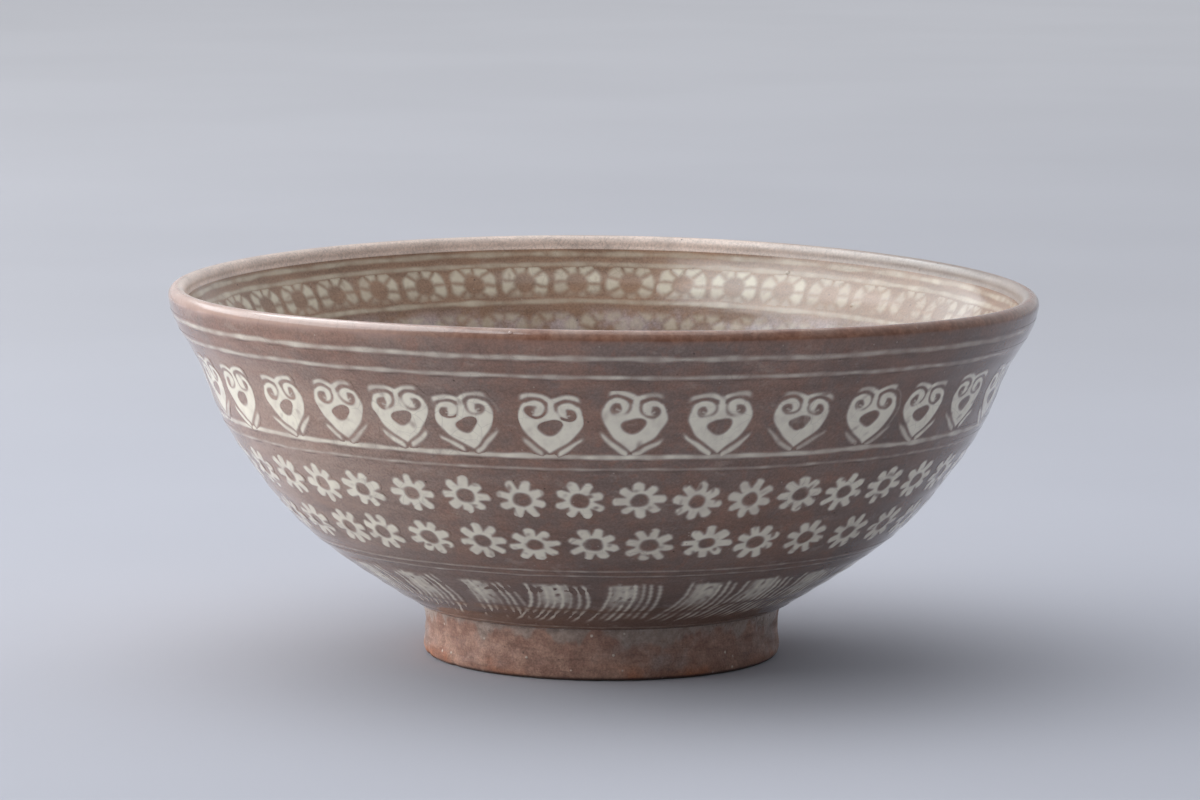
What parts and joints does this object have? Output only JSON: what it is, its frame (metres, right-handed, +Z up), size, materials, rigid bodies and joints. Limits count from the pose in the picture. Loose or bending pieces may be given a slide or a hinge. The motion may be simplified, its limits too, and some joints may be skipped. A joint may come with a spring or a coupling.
{
  "type": "tea bowl",
  "caption": "Footed stoneware tea bowl with an everted lip, white slip lines and stamped hearts set in its glazed wall.",
  "frame": {"origin": "middle of the foot ring's standing face, on the surface the bowl stands on", "axes": "+Z up along the bowl's axis; -Y is the side that faces the viewer of the picture, +X is to its right"},
  "size_m": [0.15, 0.15, 0.0642],
  "materials": {
    "glazed_wall": "gloss",
    "white_slip": "gloss",
    "bare_foot": "matte"
  },
  "bodies": {
    "root": {"bowl_wall": "glazed_wall", "foot_ring": "bare_foot", "rim_line_upper": "white_slip", "rim_line_lower": "white_slip", "heart_band_line": "white_slip", "rosette_band_line": "white_slip", "comb_band_line_upper": "white_slip", "comb_band_line_lower": "white_slip", "foot_line": "white_slip", "inner_rim_line_upper": "white_slip", "inner_rim_line_lower": "white_slip", "inner_stamp_line": "white_slip", "heart_inlay_01": "white_slip", "heart_inlay_02": "white_slip", "heart_inlay_03": "white_slip", "heart_inlay_04": "white_slip", "heart_inlay_05": "white_slip", "heart_inlay_06": "white_slip", "heart_inlay_07": "white_slip", "heart_inlay_08": "white_slip", "heart_inlay_09": "white_slip", "heart_inlay_10": "white_slip", "heart_inlay_11": "white_slip", "heart_inlay_12": "white_slip", "heart_inlay_13": "white_slip", "heart_inlay_14": "white_slip", "heart_inlay_15": "white_slip", "heart_inlay_16": "white_slip", "heart_inlay_17": "white_slip", "heart_inlay_18": "white_slip", "heart_inlay_19": "white_slip", "heart_inlay_20": "white_slip", "heart_inlay_21": "white_slip", "heart_inlay_22": "white_slip", "heart_inlay_23": "white_slip", "heart_inlay_24": "white_slip", "heart_inlay_25": "white_slip", "heart_inlay_26": "white_slip", "heart_inlay_27": "white_slip", "heart_inlay_28": "white_slip", "heart_inlay_29": "white_slip", "heart_inlay_30": "white_slip", "heart_inlay_31": "white_slip", "heart_inlay_32": "white_slip"}
  },
  "joints": []
}
